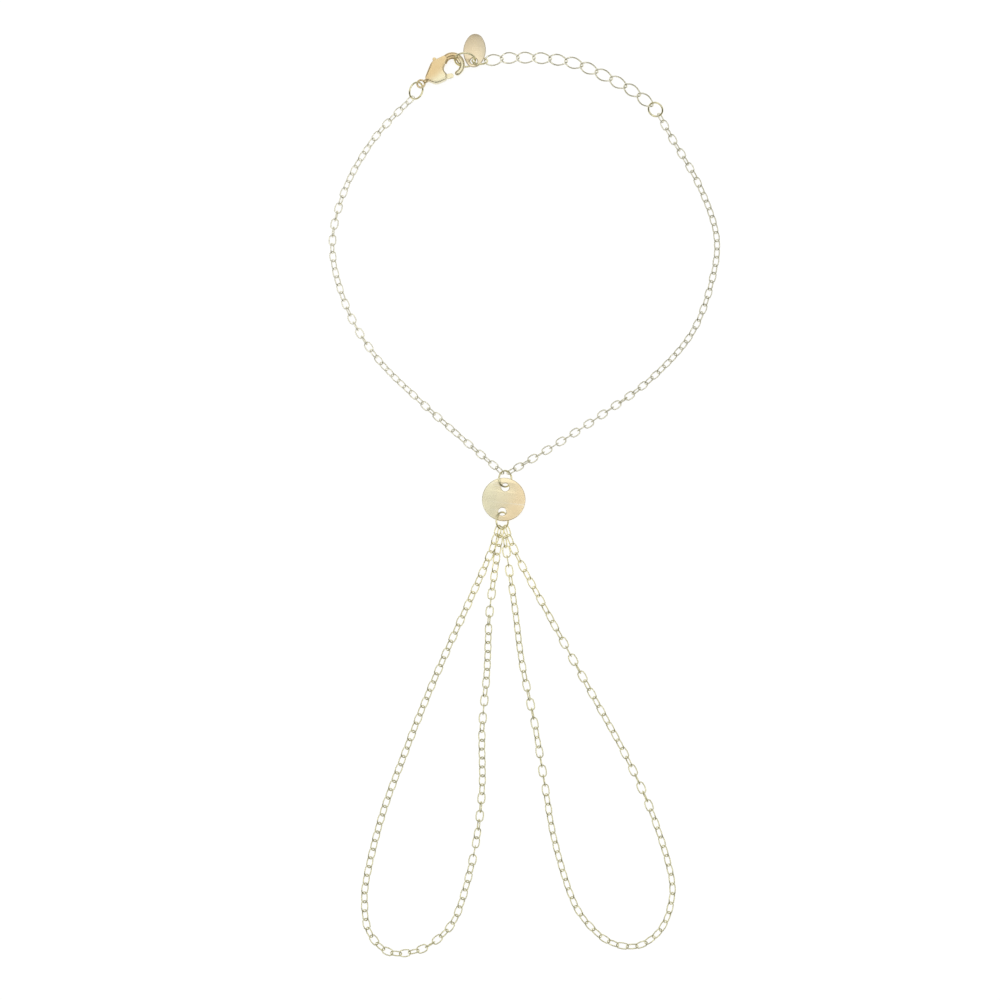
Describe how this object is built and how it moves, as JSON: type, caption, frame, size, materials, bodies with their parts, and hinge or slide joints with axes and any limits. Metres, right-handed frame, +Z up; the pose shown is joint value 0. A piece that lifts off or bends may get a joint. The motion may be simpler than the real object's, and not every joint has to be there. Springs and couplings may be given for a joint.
{
  "type": "hand chain bracelet",
  "caption": "Fine link chain bracelet laid flat, with a lobster clasp and extender, a small round disc, and finger loops hung from the disc.",
  "frame": {"origin": "centre of the whole laid-out piece in plan, on the surface that it lies on", "axes": "+Y towards the clasp and the wrist end, -Y towards the finger loops, +Z up from the surface"},
  "size_m": [0.0785, 0.185, 0.0039],
  "materials": {
    "chain_metal": "polished pale gold plate",
    "ring_metal": "polished pale gold plate",
    "plate_metal": "softly polished pale gold plate",
    "clasp_metal": "polished yellow gold plate"
  },
  "bodies": {
    "bracelet": {"chain_wrist_left": "chain_metal", "chain_wrist_right": "chain_metal", "extender_chain": "chain_metal", "extender_start_ring": "ring_metal", "extender_end_ring": "ring_metal", "finger_loop_left": "chain_metal", "finger_loop_right": "chain_metal", "disc": "plate_metal", "disc_ring_top": "ring_metal", "disc_ring_bottom": "ring_metal", "clasp_body": "clasp_metal", "clasp_pin": "clasp_metal", "clasp_ring": "ring_metal", "tag": "plate_metal", "tag_ring": "ring_metal"},
    "lever": {"clasp_lever": "clasp_metal"}
  },
  "joints": [
    {"name": "lever", "type": "hinge", "parent": "bracelet", "child": "lever", "pos_m": [-0.01685, 0.08443, 0.00125], "axis": [0, 0, 1], "range_deg": [0, 28], "stiffness_Nm_per_rad": 0.0002, "springref_deg": -20.05}
  ]
}
